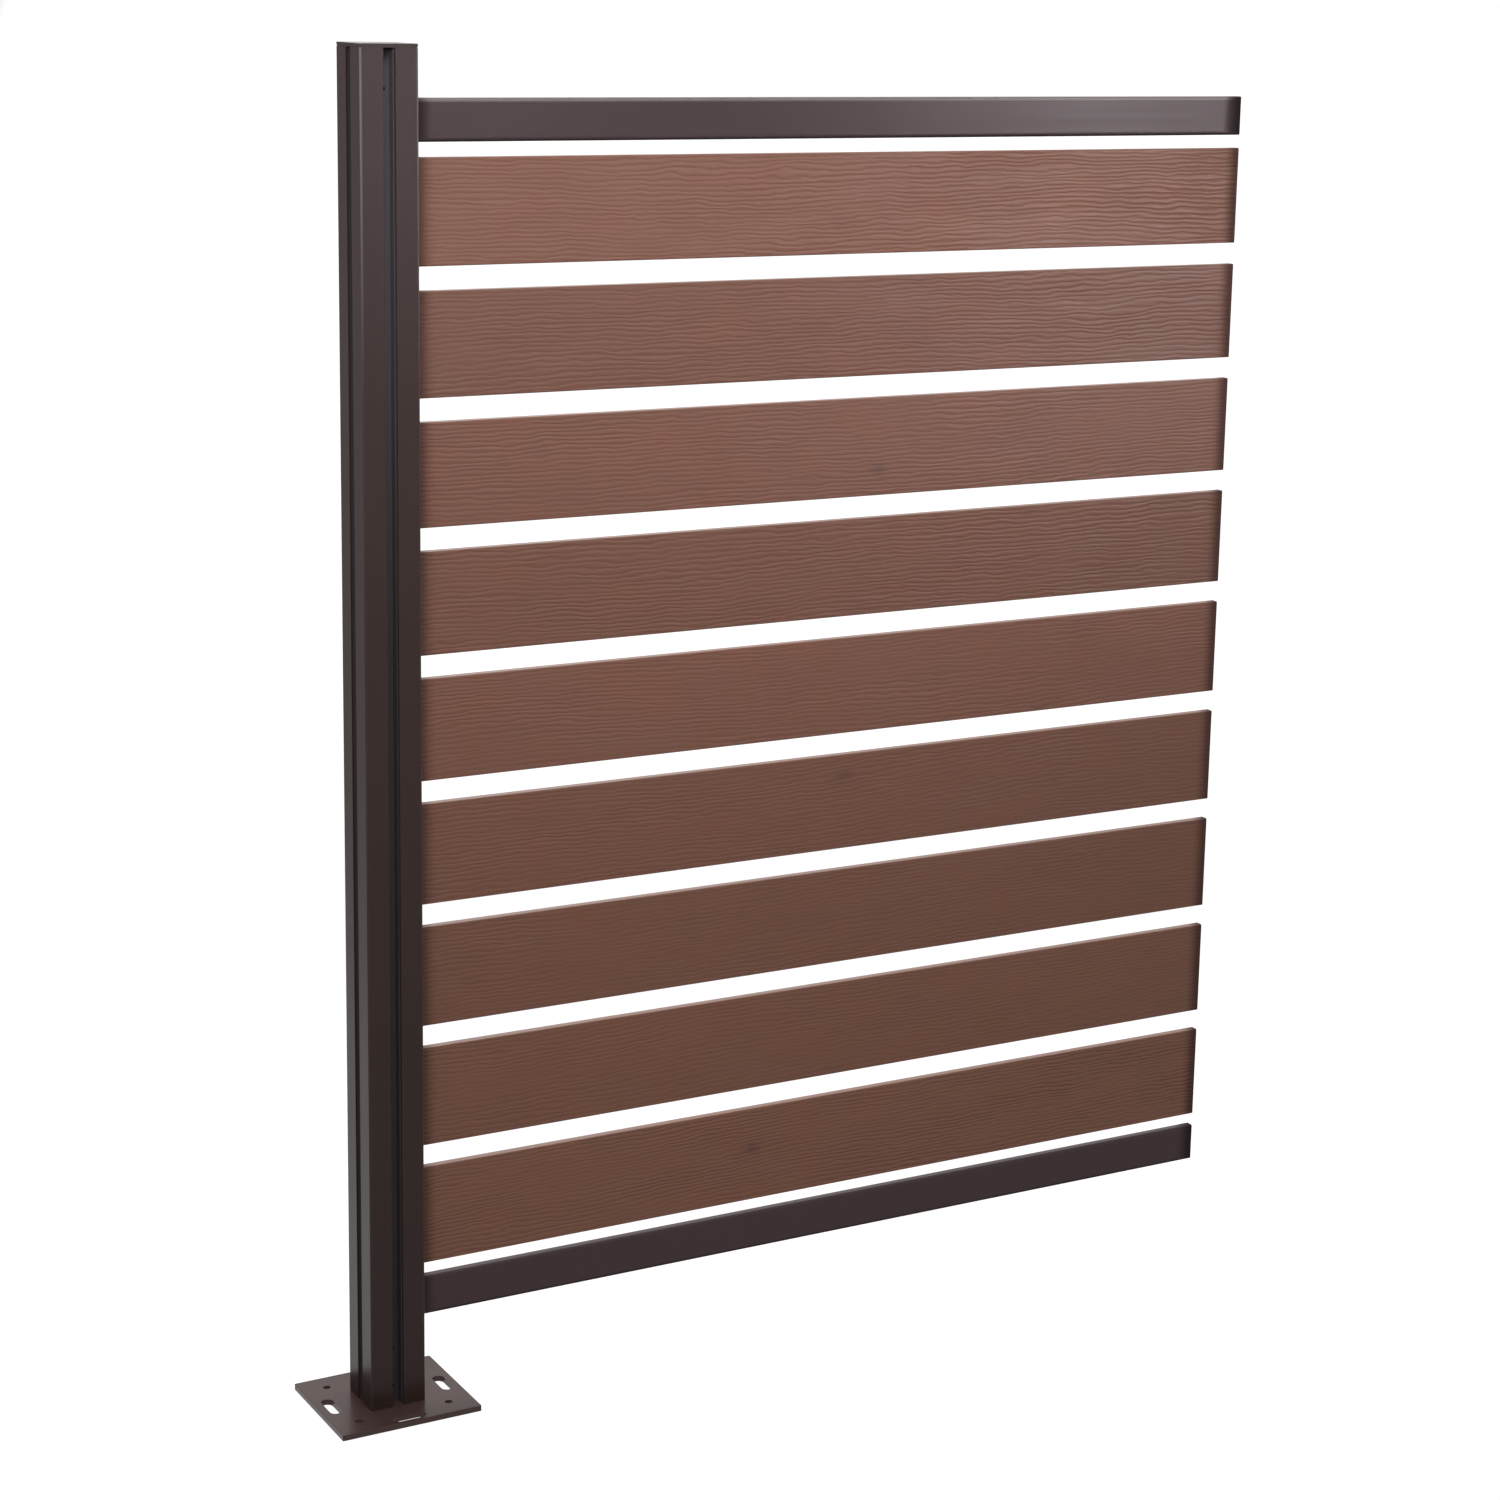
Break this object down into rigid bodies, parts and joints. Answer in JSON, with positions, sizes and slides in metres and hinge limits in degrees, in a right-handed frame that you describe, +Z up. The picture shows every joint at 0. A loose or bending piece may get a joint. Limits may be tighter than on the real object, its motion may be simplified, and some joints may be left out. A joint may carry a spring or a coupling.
{
  "type": "bin screen panel",
  "caption": "Slatted screen section for hiding bins: wood-grain boards and dark rails plugged into one grooved square post on a bolt-down base plate.",
  "frame": {"origin": "middle of the base plate's underside, on the post's axis", "axes": "+Z up along the post, +X along the panel towards its free ends, -Y towards the front seen in the picture"},
  "size_m": [1.11, 0.138, 1.4],
  "materials": {
    "bronze_aluminium": "satin dark bronze powder coat on extruded aluminium",
    "bronze_steel": "satin dark bronze powder coat on steel plate",
    "wood_composite": "brown wood composite with embossed wood grain, matt",
    "black_plastic": "matt black nylon",
    "mill_aluminium": "plain extruded aluminium",
    "stainless_steel": "plain stainless steel"
  },
  "bodies": {
    "root": {"post": "bronze_aluminium", "top_rail": "bronze_aluminium", "bottom_rail": "bronze_aluminium", "post_cap": "bronze_aluminium", "base_plate": "bronze_steel", "slat_1": "wood_composite", "slat_2": "wood_composite", "slat_3": "wood_composite", "slat_4": "wood_composite", "slat_5": "wood_composite", "slat_6": "wood_composite", "slat_7": "wood_composite", "slat_8": "wood_composite", "slat_9": "wood_composite", "groove_spacer_1": "black_plastic", "groove_spacer_2": "black_plastic", "groove_spacer_3": "black_plastic", "groove_spacer_4": "black_plastic", "groove_spacer_5": "black_plastic", "groove_spacer_6": "black_plastic", "groove_spacer_7": "black_plastic", "groove_spacer_8": "black_plastic", "rail_spacer_top": "black_plastic", "rail_spacer_bottom": "black_plastic", "bottom_stop": "mill_aluminium", "top_stop": "mill_aluminium", "base_screws": "stainless_steel", "bottom_stop_screws": "stainless_steel", "top_stop_screw": "stainless_steel"}
  },
  "joints": []
}
